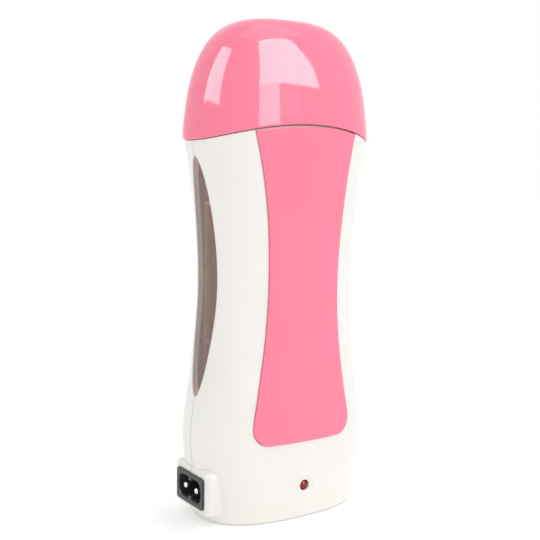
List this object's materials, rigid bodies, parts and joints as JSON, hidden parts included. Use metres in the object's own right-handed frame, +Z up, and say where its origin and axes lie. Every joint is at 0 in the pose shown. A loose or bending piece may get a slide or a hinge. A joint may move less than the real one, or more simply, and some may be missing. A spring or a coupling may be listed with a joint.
{
  "type": "roll-on wax cartridge warmer",
  "caption": "Hand-held upright warmer for roll-on wax cartridges: waisted oval housing, side windows, domed lift-off cap, two-pin mains inlet and indicator lamp.",
  "frame": {"origin": "centre of the flat base, on the surface that the warmer stands on", "axes": "+Z up; -Y towards the front panel and indicator lamp; -X towards the mains inlet"},
  "size_m": [0.0798, 0.0488, 0.1966],
  "materials": {
    "white_abs": "gloss",
    "pink_gloss": "gloss",
    "smoky_window": "gloss",
    "frame_plastic": "matte",
    "heater_aluminium": "brushed",
    "heating_element": "matte",
    "mica_sheet": "matte",
    "black_plastic": "satin",
    "plated_metal": "polished",
    "lamp_red": "gloss",
    "circuit_board": "satin",
    "resistor_body": "satin",
    "thermostat_case": "satin",
    "spring_steel": "satin",
    "glass_sleeve": "matte",
    "brown_lead": "satin",
    "blue_lead": "satin",
    "white_lead": "satin",
    "red_lead": "satin"
  },
  "bodies": {
    "housing": {"front_shell": "white_abs", "rear_shell": "white_abs", "front_panel": "pink_gloss", "left_window": "smoky_window", "right_window": "smoky_window", "well_frame": "frame_plastic", "well_base": "frame_plastic", "mouth_ring": "frame_plastic", "front_heater_plate": "heater_aluminium", "rear_heater_plate": "heater_aluminium", "front_heating_element": "heating_element", "rear_heating_element": "heating_element", "front_insulation_sheet": "mica_sheet", "rear_insulation_sheet": "mica_sheet", "inlet_body": "black_plastic", "inlet_pins": "plated_metal", "indicator_lamp": "lamp_red", "lamp_board": "circuit_board", "dropper_resistor": "resistor_body", "rectifier_diode": "black_plastic", "thermostat": "thermostat_case", "thermostat_clip": "spring_steel", "thermal_fuse": "plated_metal", "fuse_sleeve": "glass_sleeve", "live_lead": "brown_lead", "neutral_lead": "blue_lead", "rear_heater_lead": "white_lead", "link_lead": "white_lead", "front_heater_lead": "white_lead", "indicator_leads": "red_lead", "case_screws": "spring_steel"},
    "cap": {"cap": "pink_gloss"}
  },
  "joints": [
    {"name": "cap_lift", "type": "slide", "parent": "housing", "child": "cap", "axis": [0, 0, 1], "range_m": [0, 0.065]}
  ]
}
